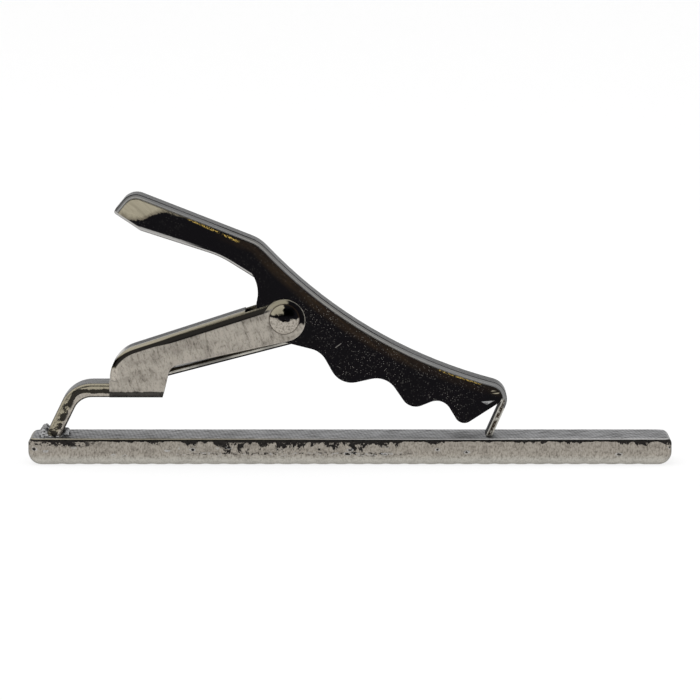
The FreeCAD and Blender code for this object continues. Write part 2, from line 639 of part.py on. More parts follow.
round_edges(lever, "inner_nose", crosswise_at(lever_hollow, inner_nose),
            f"{cell('nose_round')} - {cell('lever_sheet')}")
lever_hole = draw_circle(
    lever, "lever_hole", f"{cell('rivet_radius')} + {cell('pivot_clear')}")
cut_across(lever, "lever_hole_cut", lever_hole, f"2 * {cell('lever_width')}")

# Pivot rivet: a shank through both channels with a low domed head on each side.
rivet = new_body("pivot_rivet")
place_at_pivot(rivet)
head_seat = f"({outer_width} / 2)"
head_rim = f"({head_seat} + {cell('rivet_head_rim')})"
head_top = f"({head_rim} + {cell('rivet_head_dome')})"
dome_radius = (f"({cell('rivet_head_radius')}^2 + {cell('rivet_head_dome')}^2)"
               f" / (2 * {cell('rivet_head_dome')})")
rivet_half = draw_outline(rivet, "rivet_half", [
    ("0", f"-{head_top}"),
    (cell("rivet_head_radius"), f"-{head_rim}"),
    (cell("rivet_head_radius"), f"-{head_seat}"),
    (cell("rivet_radius"), f"-{head_seat}"),
    (cell("rivet_radius"), head_seat),
    (cell("rivet_head_radius"), head_seat),
    (cell("rivet_head_radius"), head_rim),
    ("0", head_top),
], arcs={0: (dome_radius, 1), 6: (dome_radius, 1)}, role="XY_Plane")
turned = rivet.newObject("PartDesign::Revolution", "rivet_turned")
turned.Profile = rivet_half
turned.ReferenceAxis = (rivet_half, ["V_Axis"])
turned.Angle = 360
doc.recompute()

# Hairpin spring: a strip bent round the rivet, one leg on the post's tongue, one under the handle.
spring = new_body("hairpin_spring")
place_at_pivot(spring)
coil = cell("spring_coil")
strip = cell("spring_thick")
seat_drop = f"({pivot_z} - {post_top})"
seat_line = f"sqrt({cell('spring_seat')}^2 + {seat_drop}^2)"
low_turn = f"(atan({seat_drop} / {cell('spring_seat')}) - asin({coil} / {seat_line}))"
low_leg = f"sqrt({seat_line}^2 - {coil}^2)"
press_x = f"({crown[0]} - {cell('spring_press')})"
press_z = (f"({inner_crown[1]} - {cell('spring_press')} * tan({cell('handle_slope')})"
           f" - {cell('spring_clear')})")
press_line = f"sqrt({press_x}^2 + {press_z}^2)"
press_turn = f"(atan2({press_z}; {press_x}) - {cell('lever_tilt')} * 1 deg)"
high_turn = f"({press_turn} + asin({coil} / {press_line}))"
high_leg = f"sqrt({press_line}^2 - {coil}^2)"


def on_spring(turn_angle, radius, along):
    """Point on a leg of the spring: its distance from the axis and its way along the leg."""
    return (f"{radius} * sin({turn_angle}) + {along} * cos({turn_angle})",
            f"-{radius} * cos({turn_angle}) + {along} * sin({turn_angle})")


coil_inside = f"({coil} - {strip})"
spring_side = draw_outline(spring, "spring_side", [
    on_spring(low_turn, coil, f"-{low_leg}"),
    on_spring(low_turn, coil, "0"),
    on_spring(high_turn, coil, "0"),
    on_spring(high_turn, coil, high_leg),
    on_spring(high_turn, coil_inside, high_leg),
    on_spring(high_turn, coil_inside, "0"),
    on_spring(low_turn, coil_inside, "0"),
    on_spring(low_turn, coil_inside, f"-{low_leg}"),
], arcs={1: (coil, 1), 5: (coil_inside, -1)})
pad_across(spring, "spring_strip", spring_side, cell("spring_width"))

# Each piece is tested and written to a file of its own.
PIECES = [bar, post, bead, housing, lever, rivet, spring]
doc.recompute()
for item in doc.Objects:
    if "Invalid" in item.State or "Error" in item.State:
        raise RuntimeError(f"{item.Label} failed: {item.State}")
os.makedirs("parts", exist_ok=True)
for piece in PIECES:
    shape = piece.Shape
    if shape.isNull() or not shape.isValid() or len(shape.Solids) != 1:
        raise RuntimeError(f"{piece.Label} is not one sound solid")
    shape.exportStep(f"parts/{piece.Label}.step")
    print(piece.Label, round(shape.Volume, 3), [round(value, 3) for value in (
        shape.BoundBox.XMin, shape.BoundBox.XMax, shape.BoundBox.YMin,
        shape.BoundBox.YMax, shape.BoundBox.ZMin, shape.BoundBox.ZMax)])
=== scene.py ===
"""Looks of a tie clip: plated finishes, a bent strip spring and rough solder on a pale studio floor."""
import json
import math

import bpy
from bpy.props import FloatProperty, FloatVectorProperty, IntProperty, PointerProperty
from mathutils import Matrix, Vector


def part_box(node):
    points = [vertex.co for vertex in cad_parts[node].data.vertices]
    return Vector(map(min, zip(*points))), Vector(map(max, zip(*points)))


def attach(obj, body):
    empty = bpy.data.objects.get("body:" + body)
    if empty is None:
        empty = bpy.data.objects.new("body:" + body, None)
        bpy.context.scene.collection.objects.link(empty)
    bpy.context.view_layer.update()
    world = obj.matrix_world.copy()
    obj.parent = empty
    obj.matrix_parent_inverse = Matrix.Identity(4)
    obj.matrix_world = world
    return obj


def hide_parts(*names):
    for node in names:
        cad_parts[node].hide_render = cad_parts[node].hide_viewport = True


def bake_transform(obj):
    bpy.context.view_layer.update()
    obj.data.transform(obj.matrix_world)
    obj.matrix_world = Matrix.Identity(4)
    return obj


bl_info = {
    "name": "Tie clip looks",
    "version": (1, 0, 0),
    "blender": (4, 5, 0),
    "location": "3D View > Sidebar > Tie Clip",
    "description": "Finishes, spring, solder and studio of a tie clip",
    "category": "Object",
}

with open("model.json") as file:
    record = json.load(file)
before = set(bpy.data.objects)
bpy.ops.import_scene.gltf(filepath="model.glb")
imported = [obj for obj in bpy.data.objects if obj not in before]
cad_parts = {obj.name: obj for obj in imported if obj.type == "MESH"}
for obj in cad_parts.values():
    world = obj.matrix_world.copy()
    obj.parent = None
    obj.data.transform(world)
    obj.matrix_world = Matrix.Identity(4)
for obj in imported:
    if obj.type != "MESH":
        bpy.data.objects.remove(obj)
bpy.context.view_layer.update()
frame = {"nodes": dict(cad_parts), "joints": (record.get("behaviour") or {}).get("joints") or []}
MM = 0.001
PIVOT = Vector(frame["joints"][0]["pos_m"])
BAR_LOW, BAR_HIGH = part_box("tie_bar")
POST_LOW, POST_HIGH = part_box("post")
HOUSING_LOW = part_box("spring_housing")[0]
SPRING_LOW, SPRING_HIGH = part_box("hairpin_spring")
SOLDER_LOW, SOLDER_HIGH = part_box("solder_bead")

# Lumps of solder round the foot of the post. Lengths along and up are in millimetres from the foot,
# and those across are shares of half the solder's width.
SOLDER_LUMPS = [
    # along, across, reach along, reach across, rise
    (0.1, 0.0, 0.65, 0.8, 0.62),
    (-0.05, -0.45, 0.45, 0.4, 0.7),
    (-0.05, 0.4, 0.5, 0.4, 0.75),
    (1.6, 0.1, 0.5, 0.62, 0.5),
    (0.75, 0.0, 1.1, 0.92, 0.26),
]


def length(name, description, millimetres):
    """Property for a length, written in millimetres and kept in metres."""
    return FloatProperty(
        name=name, description=description, default=millimetres * MM, unit="LENGTH", precision=5)


def angle(name, description, degrees):
    """Property for an angle, written in degrees."""
    return FloatProperty(
        name=name, description=description, default=math.radians(degrees), subtype="ANGLE")


def colour(name, description, value):
    """Property for a colour."""
    return FloatVectorProperty(
        name=name, description=description, default=value, subtype="COLOR", min=0, max=1)


def share(name, description, value):
    """Property for a share or a strength."""
    return FloatProperty(name=name, description=description, default=value)


def count(name, description, value):
    """Property for a whole number."""
    return IntProperty(name=name, description=description, default=value)


class TieClipStage(bpy.types.PropertyGroup):
    """Camera, floor, card and lights of the studio"""
    camera_distance: length("Camera distance", "Camera to the near side of the bar", 430)
    camera_near: length("Camera near limit", "Nearest distance that the camera shows", 10)
    picture_width: length("Picture width", "Width of the picture at the near side of the bar", 59.55)
    aim_height: length("Aim height", "Height of the picture's middle at the near side of the bar", 9.95)
    elevation: angle("Elevation", "Angle at which the camera looks down", 6.8)
    floor: colour("Floor", "Colour of the floor and backdrop", (0.95, 0.95, 0.95))
    floor_white: share("Floor white", "Share of plain white in the floor as the camera sees it", 0.8)
    floor_front: length("Floor in front", "Clip to the front edge of the floor", 1600)
    floor_behind: length("Floor behind", "Clip to the foot of the backdrop", 900)
    floor_width: length("Floor width", "Floor and backdrop across", 4000)
    backdrop_height: length("Backdrop height", "Floor to the top of the backdrop", 1500)
    backdrop_bend: length("Backdrop bend", "Radius between floor and backdrop", 350)
    backdrop_steps: count("Backdrop steps", "Divisions of that bend", 16)
    card: colour("Card", "Colour of the dark card behind the camera", (0.01, 0.01, 0.01))
    card_distance: length("Card distance", "Clip to the card", 950)
    card_middle: length("Card middle", "Height of the card's middle", 420)
    card_width: length("Card width", "Card across", 1500)
    card_height: length("Card height", "Card from its lower to its upper edge", 640)
    sky: share("Sky", "Strength of the light from all round", 1.0)
    lamp: FloatProperty(
        name="Lamp", description="Power of the soft lamp overhead", default=1.1, unit="POWER")
    lamp_size: length("Lamp size", "Lamp across", 500)
    lamp_place: FloatVectorProperty(
        name="Lamp place", description="Place of the lamp, which is turned to the clip",
        default=(-0.12, -0.05, 0.55), subtype="TRANSLATION")


class TieClipFinish(bpy.types.PropertyGroup):
    """Colours of the plates and bare metals, and of the painted reflections and highlights on them"""
    plate: colour("Plate", "Dark nickel plate", (0.41, 0.375, 0.325))
    # Light plate also paints the highlights on the lever's folds and the housing's edges.
    plate_light: colour("Light plate", "Plate on the lower half of the bar", (0.52, 0.50, 0.45))
    plate_grey: colour("Grey plate", "Plate on faces that look up", (0.235, 0.235, 0.235))
    # Black also paints the dark reflections on folds, the post and the rivet, and the shade on the
    # spring's corner.
    black: colour("Black plate", "Plate where it is black", (0.0065, 0.006, 0.007))
    # Umber is real tarnish and stain on most pieces, and also paints the brown reflection below the
    # lever's folds and the shade at the handle's end and at the rivet's rim.
    umber: colour("Umber", "Brown tint of the black plate below a fold", (0.030, 0.020, 0.012))
    # Nose paints the warm reflections on folds, rounded edges, the handle's end and the rivet, and also
    # the strokes on the tip.
    nose: colour("Nose", "Warm plate at the end of the handle", (0.37, 0.335, 0.25))
    brass: colour("Brass", "Brass that shows where the plate is worn", (0.50, 0.35, 0.09))
    flange: colour("Flange", "Satin plate on the sides of the housing", (0.50, 0.46, 0.40))
    hatched: colour("Hatched back", "Plate on the back of the bar", (0.50, 0.50, 0.51))
    solder: colour("Solder", "Bare solder and bare metal", (0.52, 0.52, 0.52))
    # Painted pale reflection on the lower edges of the lever's handle.
    lower_edge_reflection: colour("Rolled edge", "Polished plate on the handle's lower edge", (0.42, 0.41, 0.395))
    grazing: colour("Grazing tint", "Dimming of a plate that is seen edge on", (0.5, 0.5, 0.5))
    dull: colour("Dull grazing tint", "The same for the lever's web", (0.27, 0.27, 0.27))
    dim: colour("Dim grazing tint", "The same for the housing's web", (0.09, 0.09, 0.09))


class TieClipShape(bpy.types.PropertyGroup):
    """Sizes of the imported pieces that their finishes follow"""
    web_slope: angle("Web slope", "Slope of the web of the housing", 17.9)
    lever_tilt: angle("Lever tilt", "Slope of the lever's own axis at rest", 39.6)
    jaw_rise: length("Jaw rise", "Hinge axis to the outside of the lever's web", 3.35)
    jaw_radius: length("Jaw radius", "Hollow curve of the web over the jaw", 41.2)
    jaw_reach: length("Jaw reach", "Hinge axis to the corner where the tip turns down", 18.9)
    tip_lean: angle("Tip lean", "Slope of the tip below the lever's axis", 74.3)
    heel: length("Heel", "Hinge axis to the crown between jaw and handle", 5.75)
    handle_slope: angle("Handle slope", "Slope of the handle below the lever's axis", 18.2)
    web_rise: length("Web rise", "Hinge axis to the outside of the web of the housing", 1.65)
    nose_drop: length("Nose drop", "Hinge axis down to the middle of the housing's nose", 0.12)
    post_lean: angle("Post lean", "Slope of the standing leg of the post", 64)


class TieClipSpring(bpy.types.PropertyGroup):
    """Sizes of the strip spring"""
    thick: length("Thickness", "Strip of the spring", 0.45)
    corner: share("Corner", "Round corners of the strip, as a share of its thickness", 0.3)
    seat: length("Seat", "Hinge axis to the end of the lower leg", 12.1)
    upper_leg: length("Upper leg", "Length of the leg under the handle", 10.508)
    leg_steps: count("Leg steps", "Divisions of a leg", 12)
    coil_steps: count("Coil steps", "Divisions of the bend", 28)
    corner_steps: count("Corner steps", "Divisions of a corner", 3)
    sharp: angle("Sharp angle", "Least turn between faces that stays a sharp edge", 40)


class TieClipSolder(bpy.types.PropertyGroup):
    """Sizes of the solder's rough skin"""
    grain: length("Grain", "Size of the lumps in the solder's skin", 0.42)
    rough: length("Roughness", "Height of those lumps", 0.34)
    level: share("Level", "Shade of the lumps that leaves the skin where it is", 0.55)
    layers: count("Layers", "Finer layers within those lumps", 3)
    voxel: length("Voxel", "Mesh spacing of the solder", 0.07)


class Signal:
    """An output of a finish's node tree. Arithmetic on it adds Math nodes."""

    def __init__(self, finish, socket):
        self.finish = finish
        self.socket = socket

    def other(self, name):
        """Another output of the same node."""
        return Signal(self.finish, self.socket.node.outputs[name])

    def __add__(self, value):
        return self.finish.math("ADD", self, value)

    def __radd__(self, value):
        return self.finish.math("ADD", value, self)

    def __sub__(self, value):
        return self.finish.math("SUBTRACT", self, value)

    def __rsub__(self, value):
        return self.finish.math("SUBTRACT", value, self)

    def __mul__(self, value):
        return self.finish.math("MULTIPLY", self, value)

    def __rmul__(self, value):
        return self.finish.math("MULTIPLY", value, self)

    def __abs__(self):
        return self.finish.math("ABSOLUTE", self)

    def at_least(self, value):
        """The larger of the two."""
        return self.finish.math("MAXIMUM", self, value)

    def at_most(self, value):
        """The smaller of the two."""
        return self.finish.math("MINIMUM", self, value)

    def ramp(self, low, high):
        """0 below low and 1 above high, or the other way round where low is the larger."""
        return self.finish.node("ShaderNodeMapRange", {"interpolation_type": "SMOOTHSTEP"},
                                {"Value": self, "From Min": low, "From Max": high})

    def band(self, low, high, soft):
        """1 between low and high, falling to 0 over a soft edge."""
        return self.ramp(low - soft, low + soft) * self.ramp(high + soft, high - soft)


class Finish:
    """One node material, written as expressions on signals."""

    def __init__(self, name):
        self.material = bpy.data.materials.new(name)
        self.material.use_nodes = True
        self.tree = self.material.node_tree
        self.shader = self.tree.nodes["Principled BSDF"]

    def node(self, kind, settings=None, inputs=None, output=0):
        """Adds a node and gives one of its outputs."""
        made = self.tree.nodes.new(kind)
        for key, value in (settings or {}).items():
            setattr(made, key, value)
        for key, value in (inputs or {}).items():
            self.feed(made.inputs[key], value)
        return Signal(self, made.outputs[output])

    def feed(self, socket, value):
        """Links a signal to a socket, or sets the socket to a plain value."""
        if isinstance(value, Signal):
            self.tree.links.new(value.socket, socket)
        elif socket.type == "RGBA":
            socket.default_value = (*value, 1)[:4]
        else:
            socket.default_value = value

    def math(self, operation, *values):
        """One Math node."""
        return self.node("ShaderNodeMath", {"operation": operation}, dict(enumerate(values)))

    def mix(self, share_of_second, first, second):
        """Colour between two others."""
        return self.node("ShaderNodeMix", {"data_type": "RGBA"},
                         {0: share_of_second, 6: first, 7: second}, output=2)

    def place(self, origin=(0, 0, 0), turn=0.0):
        """Place on the piece in millimetres about a point, along axes turned about Y."""
        where = self.node("ShaderNodeTexCoord", output="Object")
        return self.node("ShaderNodeMapping", {"vector_type": "TEXTURE"}, {
            "Vector": where, "Location": origin, "Rotation": (0, turn, 0), "Scale": (MM, MM, MM)})

    def facing(self, turn=0.0):
        """Direction that the surface of the piece faces, along axes turned about Y."""
        normal = self.node("ShaderNodeTexCoord", output="Normal")
        return self.node("ShaderNodeMapping", {"vector_type": "TEXTURE"}, {
            "Vector": normal, "Rotation": (0, turn, 0)})

    def split(self, vector):
        """The three parts of a vector."""
        first = self.node("ShaderNodeSeparateXYZ", inputs={0: vector})
        return first, first.other("Y"), first.other("Z")

    def stretch(self, vector, scale):
        """A vector with each of its parts scaled."""
        return self.node("ShaderNodeVectorMath", {"operation": "MULTIPLY"}, {0: vector, 1: scale})

    def noise(self, vector, scale, detail, rough):
        """Cloudy pattern about 0.5, with its scale in clouds to the millimetre along each axis."""
        return self.node("ShaderNodeTexNoise", None, {
            "Vector": self.stretch(vector, scale), "Scale": 1.0, "Detail": detail, "Roughness": rough})

    def cells(self, vector, scale):
        """Distance to the nearest of many scattered points, and a random number for that point."""
        near = self.node("ShaderNodeTexVoronoi", {"feature": "F1"}, {
            "Vector": self.stretch(vector, scale), "Scale": 1.0})
        return near, self.node("ShaderNodeSeparateColor", inputs={0: near.other("Color")})

    def edges(self, radius):
        """Normal rounded at sharp edges, and a mask of those edges."""
        rounded = self.node("ShaderNodeBevel", {"samples": 6}, {"Radius": radius})
        normal = self.node("ShaderNodeNewGeometry", output="Normal")
        along = self.node("ShaderNodeVectorMath", {"operation": "DOT_PRODUCT"},
                          {0: rounded, 1: normal}, output=1)
        return rounded, along.ramp(0.995, 0.9)

    def bump(self, height, depth, normal=None):
        """Normal of a surface that is raised by a height between 0 and 1, times a depth."""
        inputs = {"Height": height, "Distance": depth, "Strength": 1.0}
        if normal is not None:
            inputs["Normal"] = normal
        return self.node("ShaderNodeBump", None, inputs)

    def finish(self, **sockets):
        """Feeds the shader's sockets and gives the material."""
        for key, value in sockets.items():
            self.feed(self.shader.inputs[key.replace("_", " ")], value)
        return self.material


def dress(node, material):
    """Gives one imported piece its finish."""
    slots = frame["nodes"][node].data.materials
    slots.clear()
    slots.append(material)


def bar_marks(made, place, x, down):
    """Masks on the side of the bar: the black plate, and the bare lips round its pits and worn row."""
    drip_stretch, row_stretch, left_end = (-11.5, 3), (-14.5, 5), (-20.5, -23.0)
    plain_depth = 0.25

    # Black that hangs in drips from the back edge, lowest along one stretch and at the right end.
    spread = made.noise(place, (0.35, 0.35, 0.0), detail=2, rough=0.5)
    patch = spread.ramp(0.47, 0.62) * 0.35 + spread.ramp(0.3, 0.46) * x.band(*drip_stretch, 1.5) * 0.8
    drip = made.noise(place, (1.5, 0.4, 0.8), detail=4, rough=0.65).ramp(0.36, 0.68)
    turned = (BAR_HIGH.x / MM - x).ramp(1.4, 0.1)
    skirt = (plain_depth + patch * (0.12 + drip) + drip * 0.08 + turned * 0.4 - down).ramp(0.0, 0.04)
    holes = made.noise(place, (3.2, 3.2, 4.5), detail=3, rough=0.65).ramp(0.55, 0.6)
    holes = holes * down.ramp(0.3, 0.42)
    skirt = skirt * down.ramp(0.08, 0.12) * (1 - holes * 0.85)
    flakes = made.noise(place, (2.2, 2.2, 3.4), detail=4, rough=0.7).ramp(0.5, 0.54)
    flakes = flakes * x.ramp(*left_end)
    skirt = (skirt + flakes * down.band(0.25, 0.7, 0.12)).at_most(1.0)

    # Scattered pits with a bare lip.
    near, chance = made.cells(place, (0.9, 0.9, 1.7))
    lumpy = near + made.noise(place, (3, 3, 3), detail=2, rough=0.6) * 0.35
    pitted = chance.ramp(0.52, 0.56) * down.band(0.75, 1.5, 0.2)
    pit = lumpy.ramp(0.40, 0.35) * pitted
    lip = lumpy.band(0.40, 0.47, 0.03) * pitted

    # Broken row of wear low on the side.
    worn = made.noise(place, (2.4, 2.4, 5), detail=4, rough=0.7)
    row = down.band(1.2, 1.42, 0.08) * x.band(*row_stretch, 1.5)
    lip = lip.at_least(worn.ramp(0.46, 0.4) * row * 0.8)
    return (skirt + pit + worn.ramp(0.54, 0.58) * row).at_most(1.0), lip


def bar_hatching(made, x, y, waver):
    """Strokes on the back of the bar: two slanted sets and fine ribs across."""
    slanted = made.node("ShaderNodeCombineXYZ", None, {0: (x + y) * 0.25, 1: (x - y) * 1.7})
    crossed = made.node("ShaderNodeCombineXYZ", None, {0: (x - y) * 0.25, 1: (x + y) * 1.3})
    first = made.noise(slanted, (1, 1, 1), detail=3, rough=0.6).ramp(0.44, 0.58)
    second = made.noise(crossed, (1, 1, 1), detail=2, rough=0.6).ramp(0.48, 0.6)
    ribs = made.math("SINE", x * 20 + y * 2.5 + waver * 5).ramp(-0.4, 0.8)
    return first * 0.9 + second * 0.6 + ribs * 0.6


def bar_finish(colours):
    """Satin casting: ragged black below the back edge, small pits, a hatched back and a painted highlight
    on its rounded top edge.
    """
    made = Finish("bar plate")
    place = made.place()
    x, y, z = made.split(place)
    face_z = made.split(made.facing())[2]
    rounded, _ = made.edges(radius=0.06 * MM)
    down = BAR_HIGH.z / MM - z
    back = face_z.ramp(0.75, 0.95)
    side = 1 - back

    grain = made.noise(place, (7, 7, 4), detail=3, rough=0.6)
    peel = made.noise(place, (1.6, 1.6, 2.0), detail=3, rough=0.6)
    tone = made.mix(down.ramp(1.3, 2.0), colours.plate, colours.plate_light)
    tarnish = grain.ramp(0.4, 0.72) * 0.5 + peel.ramp(0.42, 0.7) * 0.24
    tone = made.mix(tarnish * (1 - down.ramp(1.45, 1.95) * 0.5), tone, colours.umber)
    black, lip = bar_marks(made, place, x, down)
    dark = black * side
    tone = made.mix(dark * 0.95, tone, colours.black)
    tone = made.mix(lip * side * 0.6, tone, colours.solder)

    hatch = bar_hatching(made, x, y, peel)
    tone = made.mix(back, tone, made.mix(hatch * 0.42, colours.hatched, colours.black))
    # Painted highlight on the rounded top edge.
    edge = made.mix(x.ramp(-12, 4), colours.nose, colours.solder)
    tone = made.mix(face_z.band(0.4, 0.9, 0.08) * 0.7, tone, edge)
    height = grain * 0.5 + peel * 1.5 - dark * 0.6 + lip * 0.5 + hatch * back * 0.4
    return made.finish(
        Base_Color=tone, Metallic=1.0, Roughness=0.27 + grain * 0.12 + back * 0.06,
        Specular_Tint=colours.grazing, Normal=made.bump(height, depth=0.014 * MM, normal=rounded))


def post_finish(colours, shape):
    """Bent strip: painted warm reflection along its upper edge, painted black reflection broken along its
    side, flaked and pitted towards the foot.
    """
    made = Finish("post plate")
    place = made.place((POST_LOW.x, 0, BAR_HIGH.z))
    x, _, z = made.split(place)
    face_y = made.split(made.facing())[1]
    rounded, _ = made.edges(radius=0.05 * MM)
    beside = abs(face_y).ramp(0.35, 0.7)
    foot = z.ramp(3.4, 0.6)
    under_top = (POST_HIGH.z - BAR_HIGH.z) / MM - z
    under_leg = x * math.sin(shape.post_lean) - z * math.cos(shape.post_lean)
    depth = made.math("SMOOTH_MIN", under_top, under_leg, 0.8)

    grain = made.noise(place, (6, 6, 6), detail=3, rough=0.6)
    ragged = made.noise(place, (1.5, 1.5, 1.5), detail=5, rough=0.7) - 0.5
    strokes = made.noise(place, (0.3, 2.6, 0.3), detail=2, rough=0.6)
    top = made.mix(0.3 + strokes.ramp(0.42, 0.62) * 0.5, colours.plate_grey, colours.black)
    # Painted warm reflection along the rounded upper edge.
    tone = made.mix((depth + ragged * 0.3).ramp(0.7, 0.9), colours.nose, colours.plate)
    tone = made.mix(beside, top, tone)

    # Painted black reflection along the side, broken up more towards the foot, where flaked plate also
    # shows black.
    streak = depth.band(0.46, 0.9, 0.12) * (1 - foot * 0.3)
    streak = (streak + ragged * (1.9 + foot * 2.6) + foot * 0.2).ramp(0.68, 0.74)
    flaked = made.noise(place, (1.9, 1.9, 2.6), detail=4, rough=0.7).ramp(0.49, 0.53)
    flaked = flaked * z.ramp(3.7, 2.8) * depth.band(0.25, 0.95, 0.1)
    dark = streak.at_least(flaked) * beside
    tone = made.mix(dark * 0.93, tone, colours.black)
    tone = made.mix(grain.ramp(0.45, 0.75) * 0.35, tone, colours.umber)
    pits = made.noise(place, (2.0, 2.0, 2.0), detail=3, rough=0.6) * (0.8 + foot * 2.2)
    height = grain * 0.4 + pits - dark * 0.6
    return made.finish(
        Base_Color=tone, Metallic=1.0, Roughness=0.2 + grain * 0.14, Specular_Tint=colours.grazing,
        Normal=made.bump(height, depth=0.016 * MM, normal=rounded))


def solder_finish(colours):
    """Dull grey solder with dark hollows."""
    made = Finish("solder")
    place = made.place()
    grain = made.noise(place, (4, 4, 4), detail=4, rough=0.65)
    fine = made.noise(place, (9, 9, 9), detail=2, rough=0.6)
    tone = made.mix(grain.ramp(0.44, 0.62), colours.solder, colours.black)
    tone = made.mix(fine.ramp(0.52, 0.7) * 0.7, tone, colours.solder)
    return made.finish(
        Base_Color=tone, Metallic=1.0, Roughness=0.25 + fine * 0.3, Specular_Tint=colours.grazing,
        Normal=made.bump(grain + fine * 0.4, depth=0.04 * MM))


def housing_finish(colours, shape):
    """Folded strip: satin flanges with upright grain, painted warm and black reflections along the folds
    and round the rivet, painted highlights on sharp edges, ribbed web, dark tab folds.
    """
    made = Finish("housing plate")
    place = made.place(PIVOT, -shape.web_slope)
    x, y, z = made.split(place)
    height_above = made.split(made.place((0, 0, HOUSING_LOW.z)))[2]
    face_x, face_y, face_z = made.split(made.facing(-shape.web_slope))
    rounded, edge_highlight = made.edges(radius=0.16 * MM)
    sunk = shape.web_rise / MM - z
    outward = face_z.at_least(0 - face_x)
    flat = abs(face_y).ramp(0.93, 0.955)
    web = outward.ramp(0.93, 0.985)
    ragged = made.noise(place, (2.2, 2.2, 2.2), detail=4, rough=0.65)

    # Satin of the flanges, and the ribbed web, with a painted warm reflection along its near edge and its
    # folds.
    upright = made.noise(place, (5, 5, 1.1), detail=4, rough=0.7)
    speck = made.noise(place, (7, 7, 4), detail=2, rough=0.6)
    cloud = made.noise(place, (0.5, 0.5, 0.9), detail=3, rough=0.6)
    stain = upright.ramp(0.46, 0.7) * 0.4 + speck.ramp(0.48, 0.7) * 0.26 + cloud.ramp(0.42, 0.68) * 0.3
    satin = made.mix(stain, colours.flange, colours.umber)
    ribs = made.noise(place, (0.1, 2.4, 0.1), detail=2, rough=0.6)
    ribbed = made.mix(0.45 + ribs.ramp(0.42, 0.58) * 0.5, colours.plate_grey, colours.black)
    ribs_seen = web * y.ramp(-1.25, -0.95)
    tone = made.mix(ribs_seen, colours.nose, ribbed)

    # Painted black reflection along the folds and in a band on the flange below the web, with satin below
    # it that reaches higher round the bent back.
    black_from = 0.28 + x.ramp(-9.5, -11.5) * 0.15
    satin_fold = outward.ramp(0.0, 0.08) * (black_from - outward).ramp(-0.06, 0.02)
    # Where the warm reflection is painted, the plate is partly matt.
    matt = outward.ramp(0.76, 0.86) * (1 - ribs_seen) * 0.6 + satin_fold * 0.6
    tone = made.mix(flat.at_least(height_above.ramp(2.7, 2.4)).at_least(satin_fold), tone, satin)
    fold = outward.ramp(0.82, 0.74) * (outward - black_from).ramp(-0.04, 0.04)
    fold = fold * height_above.ramp(2.45, 2.7)
    band = (sunk + ragged * 0.1).band(0.3, 0.72, 0.05) * abs(face_y).ramp(0.6, 0.8)
    band = band * x.band(-9, -1.0, 0.4)
    tone = made.mix(fold.at_least(band) * 0.96, tone, colours.black)

    # Painted reflections on the rim round the rivet: a warm crest and a black hook.
    from_x, _, from_z = made.split(made.place(PIVOT - Vector((0, 0, shape.nose_drop))))
    outer = made.math("SQRT", from_x * from_x + from_z * from_z)
    crest = sunk.ramp(0.52, 0.44) * x.band(-2.6, 0.9, 0.2) * flat
    tone = made.mix(crest, tone, colours.nose)
    hook = (outer + ragged * 0.2).ramp(1.92, 1.82) * (from_z + ragged * 1.2).ramp(0.1, 0.4) * flat
    tone = made.mix(hook * (from_x + ragged * 0.4).ramp(0.3, 0.6), tone, colours.black)

    tab = (height_above + ragged * 0.3).ramp(0.74, 0.68)
    tone = made.mix(tab * 0.88, tone, colours.black)
    # Painted highlight along sharp edges, left off the dark tab.
    tone = made.mix(edge_highlight * 0.3 * (1 - tab), tone, colours.plate_light)
    height = upright * flat * 0.8 + speck * 0.4 + ribs * web * 1.2
    return made.finish(
        Base_Color=tone, Metallic=1 - matt, Roughness=0.14 + flat * 0.2 + speck * 0.08,
        Specular_Tint=colours.dim, Normal=made.bump(height, depth=0.007 * MM, normal=rounded))


